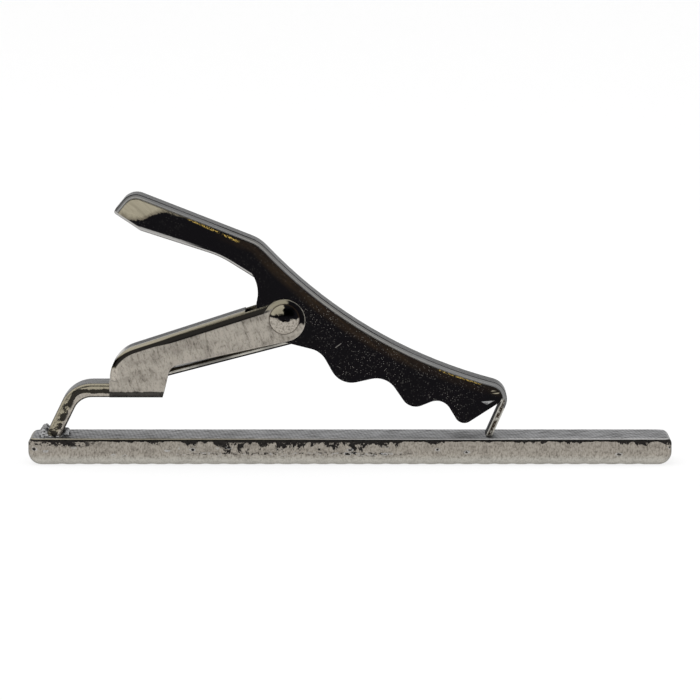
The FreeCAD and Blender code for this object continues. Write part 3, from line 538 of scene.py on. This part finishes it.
class LeverFinish(Finish):
    """Black mirror plate of the lever, laid out in millimetres along the lever (u) and up from it (w)."""

    def __init__(self, colours, shape):
        super().__init__("black plate")
        self.colours = colours
        self.shape = shape
        self.where = self.place(PIVOT, shape.lever_tilt)
        self.u, _, self.w = self.split(self.where)
        self.face_u, self.face_y, self.face_w = self.split(self.facing(shape.lever_tilt))
        self.bow = shape.jaw_radius / MM
        self.bow_middle = self.bow + shape.jaw_rise / MM
        self.below = self.outline() - self.w
        self.lines = self.noise(self.where, (0.1, 2.6, 0.1), detail=3, rough=0.65)
        self.torn = self.noise(self.where, (4, 4, 4), detail=4, rough=0.7)
        self.dust = self.dusting()

    def outline(self):
        """Outside of the web: a hollow curve over the jaw, then straight along the handle."""
        heel = self.shape.heel / MM
        crown = self.bow_middle - math.sqrt(self.bow ** 2 - heel ** 2)
        over_jaw = self.u.at_least(-heel)
        jaw_line = self.bow_middle - self.math("SQRT", self.bow ** 2 - over_jaw * over_jaw)
        return jaw_line.at_most(crown + (self.u + heel) * math.tan(self.shape.handle_slope))

    def dusting(self):
        """Fine bright specks, denser over the jaw."""
        near, chance = self.cells(self.where, (9, 9, 9))
        cover = self.noise(self.where, (0.3, 1, 0.3), detail=3, rough=0.5).ramp(0.34, 0.6)
        cover = cover * (0.25 + self.u.ramp(-4, 1) * 0.75)
        return near.ramp(0.38, 0.16) * chance.ramp(0.5, 1.0) * cover

    def beyond(self, point, way):
        """How far a place lies past a point, along a direction."""
        return (self.u - point[0]) * way[0] + (self.w - point[1]) * way[1]

    def web(self):
        """Colour of the drawn web with a painted highlight along its folds, and a mask of those folds."""
        colours, lines = self.colours, self.lines
        shade = 0.3 + lines.ramp(0.42, 0.6) * 0.45 + self.u.ramp(-5.5, -7) * 0.2
        tone = self.mix(shade, colours.plate_grey, colours.black)
        fold = abs(self.face_y)
        # Painted highlight along the folds, paler in their lower part.
        glint = fold.band(0.5, 0.97, 0.05) * self.face_w.at_least(0 - self.face_u).ramp(0.04, 0.12)
        bright = self.mix(lines.ramp(0.4, 0.6) * 0.5, colours.plate_grey, colours.plate_light)
        tone = self.mix(glint * (0.3 + fold.ramp(0.74, 0.88) * 0.5), tone, bright)
        # Painted shade on faces turned towards the end of the handle.
        return self.mix(self.face_u.ramp(-0.55, -0.8) * 0.3, tone, colours.black), glint

    def flank(self, streaks):
        """Colour of the black sides: painted brown reflection below the fold, dust, a scratch, worn brass
        and a pale wedge near the tip.
        """
        colours, u, w, below = self.colours, self.u, self.w, self.below
        scratch_at, scratch_slope = 4.73, 0.25
        first_wear_at, second_wear_at, jaw_wear_at = (-11.8, -9.0), (-8.6, -7.2), (12.9, 16.5)
        tip_wear_at, tip_strokes_at = (17.6, 18.2), 7.9
        wedge_start, wedge_end = (17.43, 5.18), (18.03, 5.29)

        # Painted brown reflection of the bend, below the fold.
        brown = below.band(0.3, 1.1, 0.3) * u.ramp(-10, -5) * (1 - u.ramp(9, 15) * 0.5)
        brown = brown * (0.3 + streaks.ramp(0.3, 0.7) * 0.5)
        tone = self.mix(brown, colours.black, colours.umber)
        tone = self.mix(self.dust * 0.5, tone, colours.plate_light)
        scratch = abs(u - w * scratch_slope - scratch_at).ramp(0.035, 0.01) * w.band(0.85, 1.45, 0.05)
        tone = self.mix(scratch * 0.45, tone, colours.plate_light)

        flecks = self.noise(self.where, (6.5, 1, 9), detail=3, rough=0.7).ramp(0.47, 0.56)
        handle_wear = (u.band(*first_wear_at, 0.15) + u.band(*second_wear_at, 0.15)).at_most(1.0)
        handle_wear = (below - u * 0.06).band(1.02, 1.2, 0.05) * handle_wear
        jaw_wear = below.band(0.33, 0.5, 0.05) * u.band(*jaw_wear_at, 0.15)
        tone = self.mix((handle_wear + jaw_wear) * flecks, tone, colours.brass)
        tip_wear = below.band(0.72, 1.0, 0.06) * u.band(*tip_wear_at, 0.06)
        strokes = abs((u - w) * 0.7 - tip_strokes_at).band(0.08, 0.16, 0.03)
        tone = self.mix(tip_wear * strokes, tone, colours.nose)

        tone = self.handle_end(tone, streaks)
        # Pale wedge on the flank by the tip, broken up by noise.
        pale_wedge = self.beyond(wedge_start, (0.7, -0.715)).ramp(0, 0.06)
        pale_wedge = pale_wedge * self.beyond(wedge_start, (-0.18, 0.98)).ramp(0, 0.06)
        pale_wedge = pale_wedge * self.beyond(wedge_end, (-0.93, 0.363)).ramp(-0.03, 0.03)
        return self.mix(pale_wedge * (0.25 + self.torn.ramp(0.4, 0.5) * 0.4), tone, colours.solder)

    def handle_end(self, tone, streaks):
        """Adds the painted warm reflection, with painted shade, at the end of the handle, and the painted
        pale reflection along its lower edge.
        """
        colours, u = self.colours, self.u
        lip_at, lip_slope = (-14.2, -2.0), 0.397
        ragged = self.noise(self.where, (1.6, 1.6, 1.6), detail=3, rough=0.6) - 0.5
        brushed = self.noise(self.where, (2.4, 1, 7), detail=4, rough=0.7) - 0.5
        # The cheek is a painted warm reflection where the handle's end curves, darkened by painted shade.
        cheek = 0.36 + u.ramp(-11.0, -13.6) * 0.2 + u.ramp(-13.4, -15.4) * 1.9
        cheek = cheek + ragged * 0.9 * u.ramp(-13, -15) + brushed * 0.7 * u.ramp(-12, -13.5) - self.below
        shadow = streaks.ramp(0.4, 0.8) * 0.25 + cheek.ramp(0.7, 0.0) * 0.55
        warm = self.mix(shadow, colours.nose, colours.umber)
        tone = self.mix(cheek.ramp(-0.08, 0.08) * u.ramp(-11, -12.5), tone, warm)
        # Painted pale reflection along the handle's rounded lower edge.
        over_edge = self.w - (u - lip_at[0]) * lip_slope - lip_at[1] + brushed * 0.1
        lip = over_edge.ramp(0.4, 0.3) * u.ramp(-9.0, -11.5) * u.ramp(-15.2, -14.2)
        return self.mix(lip * 0.85, tone, colours.lower_edge_reflection)

    def tip(self):
        """Colour of the cut edge of the turned-down tip, and a mask of the tip."""
        colours, shape = self.colours, self.shape
        corner_u = shape.jaw_reach / MM
        corner_w = self.bow_middle - math.sqrt(self.bow ** 2 - corner_u ** 2)
        inward = (corner_u - self.u) * math.sin(shape.tip_lean) + (
            corner_w - self.w) * math.cos(shape.tip_lean)
        grooves = inward.band(0.12, 0.4, 0.06) * self.torn.ramp(0.36, 0.5)
        cut = self.mix(grooves, colours.plate_light, colours.umber)
        return cut, inward.ramp(0.62, 0.56) * self.below.ramp(1.2, 1.5)


def lever_finish(colours, shape):
    """Black mirror plate: painted pale reflections on its lower edges, grey web with a painted highlight
    along its folds, painted brown reflection below the folds, painted highlights on sharp edges, worn
    brass and dust.
    """
    made = LeverFinish(colours, shape)
    rounded, edge_highlight = made.edges(radius=0.05 * MM)
    side = abs(made.face_y).ramp(0.975, 0.99)
    streaks = made.noise(made.where, (0.5, 1, 3.5), detail=3, rough=0.6)
    web, glint = made.web()
    tone = made.mix(side, web, made.flank(streaks))
    # Painted pale reflection on faces that look down along the handle.
    lower_edge_reflection = made.face_w.ramp(-0.02, -0.12) * made.u.ramp(-3.5, -4.3)
    tone = made.mix(lower_edge_reflection, tone, colours.lower_edge_reflection)
    cut, tip = made.tip()
    tone = made.mix(tip * abs(made.face_y).ramp(0.7, 0.9), tone, cut)
    # Painted highlight along sharp edges.
    tone = made.mix(edge_highlight * 0.25, tone, colours.plate)
    height = made.lines * (1 - side) * 1.2 + made.dust * 0.8 + made.torn * tip * 3
    return made.finish(
        Base_Color=tone, Metallic=1 - glint * 0.75,
        Roughness=0.1 + (1 - side) * 0.12 + made.dust * 0.3 + tip * 0.25,
        Specular_Tint=colours.dull, Normal=made.bump(height, depth=0.006 * MM, normal=rounded))


def rivet_finish(colours):
    """Domed head: painted reflections, warm above and ragged black across the middle, satin below, and
    painted shade in a ring at the rim.
    """
    made = Finish("rivet plate")
    place = made.place(PIVOT)
    x, _, z = made.split(place)
    grain = made.noise(place, (6, 6, 6), detail=3, rough=0.6)
    ragged = made.noise(place, (2.2, 2.2, 2.2), detail=4, rough=0.65) - 0.5
    low = made.mix(grain.ramp(0.42, 0.7) * 0.5, colours.plate, colours.umber)
    satin = (z + ragged * 0.9 + 0.18 - abs(x - 0.2) * 0.3).ramp(0.06, -0.06)
    # Painted reflections on the dome: warm above, black across the middle.
    warm = (x + ragged * 0.8).ramp(0.0, -0.14) * (z + ragged * 0.6).ramp(0.34, 0.5)
    tone = made.mix(satin, made.mix(warm, colours.black, colours.nose), low)
    # Painted shade in a ring round the head's rim.
    out = made.math("SQRT", x * x + z * z)
    tone = made.mix(out.ramp(1.2, 1.27) * 0.8, tone, colours.umber)
    return made.finish(
        Base_Color=tone, Metallic=1 - warm * 0.8, Roughness=0.16 + grain * 0.1,
        Specular_Tint=colours.grazing, Normal=made.bump(grain * 0.5 + ragged, depth=0.008 * MM))


def spring_finish(colours):
    """Blank strip with drawn lines along it and painted shade on its lower corner."""
    made = Finish("spring strip")
    place = made.place(PIVOT)
    _, face_y, face_z = made.split(made.facing())
    lines = made.noise(place, (0.2, 3, 0.2), detail=3, rough=0.6)
    cloud = made.noise(place, (0.8, 0.8, 0.8), detail=2, rough=0.5)
    stain = lines.ramp(0.42, 0.65) * 0.6 + cloud.ramp(0.5, 0.8) * 0.3
    tone = made.mix(stain, colours.plate_light, colours.black)
    # Painted shade on the rounded lower corner.
    corner = face_z.ramp(-0.08, -0.16) * abs(face_y).ramp(0.08, 0.16)
    tone = made.mix(corner, tone, colours.black)
    return made.finish(
        Base_Color=tone, Metallic=1.0, Roughness=0.2 + lines * 0.15, Specular_Tint=colours.grazing,
        Normal=made.bump(lines, depth=0.006 * MM))


def deselect():
    """Leaves edit mode and deselects everything."""
    if bpy.context.object and bpy.context.object.mode != "OBJECT":
        bpy.ops.object.mode_set(mode="OBJECT")
    bpy.ops.object.select_all(action="DESELECT")


def settle(piece, name, material):
    """Names a new piece and gives it its finish."""
    piece.name = name
    piece.data.name = name
    piece.data.materials.clear()
    piece.data.materials.append(material)
    deselect()


class TIECLIP_OT_stage(bpy.types.Operator):
    """Pale floor with a curved backdrop, a soft lamp, a dark card behind the camera, and the camera"""
    bl_idname = "tieclip.stage"
    bl_label = "Studio"

    def execute(self, context):
        stage = context.scene.tie_clip_stage
        self.floor(stage)
        self.card(stage)
        self.lights(context, stage)
        self.camera(context, stage)
        context.scene.view_settings.view_transform = "Standard"
        return {"FINISHED"}

    def floor(self, stage):
        """Floor that bends up into the backdrop."""
        deselect()
        bpy.ops.mesh.primitive_plane_add(
            size=1, location=(0, (stage.floor_behind - stage.floor_front) / 2, 0))
        floor = bpy.context.object
        floor.scale = (stage.floor_width, stage.floor_behind + stage.floor_front, 1)
        bpy.ops.object.transform_apply(location=True, scale=True)
        bpy.ops.object.mode_set(mode="EDIT")
        bpy.ops.mesh.select_all(action="DESELECT")
        bpy.ops.mesh.select_mode(type="EDGE")
        bpy.ops.object.mode_set(mode="OBJECT")
        for edge in floor.data.edges:
            edge.select = all(floor.data.vertices[one].co.y > 0 for one in edge.vertices)
        bpy.ops.object.mode_set(mode="EDIT")
        bpy.ops.mesh.spin(
            steps=stage.backdrop_steps, angle=-math.pi / 2,
            center=(0, stage.floor_behind, stage.backdrop_bend), axis=(1, 0, 0))
        bpy.ops.mesh.extrude_region_move(
            TRANSFORM_OT_translate={"value": (0, 0, stage.backdrop_height - stage.backdrop_bend)})
        bpy.ops.object.mode_set(mode="OBJECT")
        bpy.ops.object.shade_smooth()
        settle(floor, "floor", self.floor_finish(stage))

    def floor_finish(self, stage):
        """Pale paint, which the camera and reflections see as nearly white."""
        made = Finish("studio floor")
        light = made.node("ShaderNodeLightPath", output="Is Camera Ray")
        seen = (light + light.other("Is Glossy Ray") + light.other("Is Transmission Ray")).at_most(1.0)
        paint = made.node("ShaderNodeBsdfDiffuse", None, {"Color": stage.floor})
        white = made.node("ShaderNodeEmission", None, {"Color": (1, 1, 1), "Strength": 1.0})
        shown = made.node(
            "ShaderNodeMixShader", None, {0: seen * stage.floor_white, 1: paint, 2: white})
        made.feed(made.tree.nodes["Material Output"].inputs["Surface"], shown)
        return made.material

    def card(self, stage):
        """Dark card that the plate reflects."""
        deselect()
        bpy.ops.mesh.primitive_plane_add(
            size=1, location=(0, -stage.card_distance, stage.card_middle), rotation=(math.pi / 2, 0, 0))
        card = bpy.context.object
        card.scale = (stage.card_width, stage.card_height, 1)
        bpy.ops.object.transform_apply(location=True, rotation=True, scale=True)
        made = Finish("dark card")
        settle(card, "card", made.finish(Base_Color=stage.card, Roughness=0.9))

    def lights(self, context, stage):
        """Even light from all round, which the camera sees as white, and the lamp."""
        world = bpy.data.worlds.new("studio air")
        context.scene.world = world
        world.use_nodes = True
        nodes, links = world.node_tree.nodes, world.node_tree.links
        path = nodes.new("ShaderNodeLightPath")
        sky, white = nodes["Background"], nodes.new("ShaderNodeBackground")
        sky.inputs["Color"].default_value = (1, 1, 1, 1)
        sky.inputs["Strength"].default_value = stage.sky
        white.inputs["Color"].default_value = (1, 1, 1, 1)
        seen = nodes.new("ShaderNodeMixShader")
        links.new(path.outputs["Is Camera Ray"], seen.inputs[0])
        links.new(sky.outputs[0], seen.inputs[1])
        links.new(white.outputs[0], seen.inputs[2])
        links.new(seen.outputs[0], nodes["World Output"].inputs["Surface"])
        bpy.ops.object.light_add(type="AREA", location=stage.lamp_place)
        lamp = context.object
        lamp.name = "soft lamp"
        lamp.data.shape = "DISK"
        lamp.data.size = stage.lamp_size
        lamp.data.energy = stage.lamp
        lamp.visible_glossy = False
        lamp.rotation_euler = (-lamp.location).to_track_quat("-Z", "Y").to_euler()

    def camera(self, context, stage):
        """Camera that looks a little down on the near side of the bar."""
        aim = Vector((0, BAR_LOW.y, stage.aim_height))
        back = Vector((0, -math.cos(stage.elevation), math.sin(stage.elevation)))
        bpy.ops.object.camera_add(location=aim + back * stage.camera_distance)
        camera = context.object
        camera.rotation_euler = (-back).to_track_quat("-Z", "Y").to_euler()
        camera.data.lens = camera.data.sensor_width * stage.camera_distance / stage.picture_width
        camera.data.clip_start = stage.camera_near
        context.scene.camera = camera


class TIECLIP_OT_bar(bpy.types.Operator):
    """Finish of the cast bar"""
    bl_idname = "tieclip.bar"
    bl_label = "Bar"

    def execute(self, context):
        dress("tie_bar", bar_finish(context.scene.tie_clip_finish))
        return {"FINISHED"}


class TIECLIP_OT_post(bpy.types.Operator):
    """Finish of the bent post"""
    bl_idname = "tieclip.post"
    bl_label = "Post"

    def execute(self, context):
        dress("post", post_finish(context.scene.tie_clip_finish, context.scene.tie_clip_shape))
        return {"FINISHED"}


class TIECLIP_OT_solder(bpy.types.Operator):
    """Rough solder round the foot of the post"""
    bl_idname = "tieclip.solder"
    bl_label = "Solder"

    def execute(self, context):
        sizes = context.scene.tie_clip_solder
        deselect()
        base = BAR_HIGH.z
        half = (SOLDER_HIGH.y - SOLDER_LOW.y) / 2
        parts = []
        for along, across, reach, width, rise in SOLDER_LUMPS:
            bpy.ops.mesh.primitive_ico_sphere_add(
                subdivisions=4, radius=1, location=(POST_LOW.x + along * MM, half * across, base))
            part = context.object
            part.scale = (reach * MM, half * width, rise * MM)
            parts.append(part)
        for part in parts:
            part.select_set(True)
        context.view_layer.objects.active = parts[0]
        bpy.ops.object.join()
        solder = context.object
        bpy.ops.object.transform_apply(location=True, rotation=True, scale=True)
        solder.data.remesh_voxel_size = sizes.voxel
        bpy.ops.object.voxel_remesh()
        clouds = bpy.data.textures.new("solder lumps", "CLOUDS")
        clouds.noise_scale = sizes.grain
        clouds.noise_depth = sizes.layers
        rough = solder.modifiers.new("lumps", "DISPLACE")
        rough.texture = clouds
        rough.texture_coords = "LOCAL"
        rough.strength = sizes.rough
        rough.mid_level = sizes.level
        bpy.ops.object.modifier_apply(modifier=rough.name)
        bpy.ops.object.mode_set(mode="EDIT")
        bpy.ops.mesh.select_all(action="SELECT")
        bpy.ops.mesh.bisect(
            plane_co=(0, 0, base), plane_no=(0, 0, 1), use_fill=True, clear_inner=True)
        bpy.ops.object.mode_set(mode="OBJECT")
        bpy.ops.object.shade_smooth()
        settle(solder, "solder", solder_finish(context.scene.tie_clip_finish))
        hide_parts("solder_bead")
        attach(solder, "base")
        return {"FINISHED"}


class TIECLIP_OT_housing(bpy.types.Operator):
    """Finish of the folded housing"""
    bl_idname = "tieclip.housing"
    bl_label = "Housing"

    def execute(self, context):
        scene = context.scene
        dress("spring_housing", housing_finish(scene.tie_clip_finish, scene.tie_clip_shape))
        return {"FINISHED"}


class TIECLIP_OT_lever(bpy.types.Operator):
    """Finish of the jaw lever"""
    bl_idname = "tieclip.lever"
    bl_label = "Lever"

    def execute(self, context):
        dress("jaw_lever", lever_finish(context.scene.tie_clip_finish, context.scene.tie_clip_shape))
        return {"FINISHED"}


class TIECLIP_OT_rivet(bpy.types.Operator):
    """Finish of the hinge rivet"""
    bl_idname = "tieclip.rivet"
    bl_label = "Rivet"

    def execute(self, context):
        dress("pivot_rivet", rivet_finish(context.scene.tie_clip_finish))
        return {"FINISHED"}


class TIECLIP_OT_spring(bpy.types.Operator):
    """Strip bent round the rivet, with a leg on the post and a leg that follows the handle"""
    bl_idname = "tieclip.spring"
    bl_label = "Spring"

    def execute(self, context):
        sizes = context.scene.tie_clip_spring
        coil = SPRING_HIGH.x - PIVOT.x
        width = SPRING_HIGH.y - SPRING_LOW.y
        drop = PIVOT.z - SPRING_LOW.z
        rise = SPRING_HIGH.z - PIVOT.z
        # Each leg runs on from the bend without a corner, so where it ends gives its slope.
        low_turn = math.atan2(drop, sizes.seat) - math.asin(coil / math.hypot(sizes.seat, drop))
        low_leg = math.sqrt(sizes.seat ** 2 + drop ** 2 - coil ** 2)
        reach = math.hypot(sizes.upper_leg, coil)
        high_turn = math.atan2(coil, sizes.upper_leg) + math.pi - math.asin(rise / reach)
        middle = coil - sizes.thick / 2
        low_way = Vector((math.cos(low_turn), 0, math.sin(low_turn)))
        high_way = Vector((math.cos(high_turn), 0, math.sin(high_turn)))
        outward = Vector((math.sin(low_turn), 0, -math.cos(low_turn)))
        start = PIVOT + outward * middle - low_way * low_leg
        deselect()
        bpy.ops.mesh.primitive_plane_add(
            size=1, location=start, rotation=(0, math.pi / 2 - low_turn, 0))
        spring = context.object
        spring.scale = (sizes.thick, width, 1)
        bpy.ops.object.transform_apply(location=True, rotation=True, scale=True)
        bpy.ops.object.mode_set(mode="EDIT")
        bpy.ops.mesh.select_all(action="SELECT")
        bpy.ops.mesh.bevel(
            offset=sizes.thick * sizes.corner, segments=sizes.corner_steps, affect="VERTICES")
        bpy.ops.mesh.select_all(action="SELECT")
        self.run(low_way * (low_leg / sizes.leg_steps), sizes.leg_steps)
        bpy.ops.mesh.spin(
            steps=sizes.coil_steps, angle=high_turn - low_turn, center=PIVOT, axis=(0, 1, 0))
        self.run(high_way * (sizes.upper_leg / sizes.leg_steps), sizes.leg_steps)
        bpy.ops.mesh.select_all(action="SELECT")
        bpy.ops.mesh.remove_doubles(threshold=sizes.thick * 0.01)
        bpy.ops.mesh.normals_make_consistent(inside=False)
        bpy.ops.object.mode_set(mode="OBJECT")
        bpy.ops.object.shade_smooth_by_angle(angle=sizes.sharp)
        settle(spring, "spring", spring_finish(context.scene.tie_clip_finish))
        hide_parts("hairpin_spring")
        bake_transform(spring)
        return {"FINISHED"}

    def run(self, step, steps):
        """Carries the strip on along a leg."""
        for _ in range(steps):
            bpy.ops.mesh.extrude_region_move(TRANSFORM_OT_translate={"value": step})


class TIECLIP_PT_panel(bpy.types.Panel):
    """Pieces of the tie clip and the studio"""
    bl_idname = "TIECLIP_PT_panel"
    bl_label = "Tie Clip"
    bl_space_type = "VIEW_3D"
    bl_region_type = "UI"
    bl_category = "Tie Clip"

    def draw(self, context):
        for operator in OPERATORS:
            self.layout.operator(operator.bl_idname)


GROUPS = {
    "tie_clip_stage": TieClipStage,
    "tie_clip_finish": TieClipFinish,
    "tie_clip_shape": TieClipShape,
    "tie_clip_spring": TieClipSpring,
    "tie_clip_solder": TieClipSolder,
}
OPERATORS = [
    TIECLIP_OT_stage,
    TIECLIP_OT_bar,
    TIECLIP_OT_post,
    TIECLIP_OT_solder,
    TIECLIP_OT_housing,
    TIECLIP_OT_lever,
    TIECLIP_OT_rivet,
    TIECLIP_OT_spring,
]
CLASSES = [*GROUPS.values(), *OPERATORS, TIECLIP_PT_panel]


def register():
    """Registers the classes and adds the property groups to the scene."""
    for one in CLASSES:
        bpy.utils.register_class(one)
    for name, group in GROUPS.items():
        setattr(bpy.types.Scene, name, PointerProperty(type=group))


def unregister():
    """Takes the property groups and the classes away again."""
    for name in GROUPS:
        delattr(bpy.types.Scene, name)
    for one in reversed(CLASSES):
        bpy.utils.unregister_class(one)


def main():
    """Dresses and makes every piece in order."""
    register()
    bpy.ops.tieclip.stage()
    bpy.ops.tieclip.bar()
    bpy.ops.tieclip.post()
    bpy.ops.tieclip.solder()
    bpy.ops.tieclip.housing()
    bpy.ops.tieclip.lever()
    bpy.ops.tieclip.rivet()
    bpy.ops.tieclip.spring()


if __name__ == "__main__":
    main()
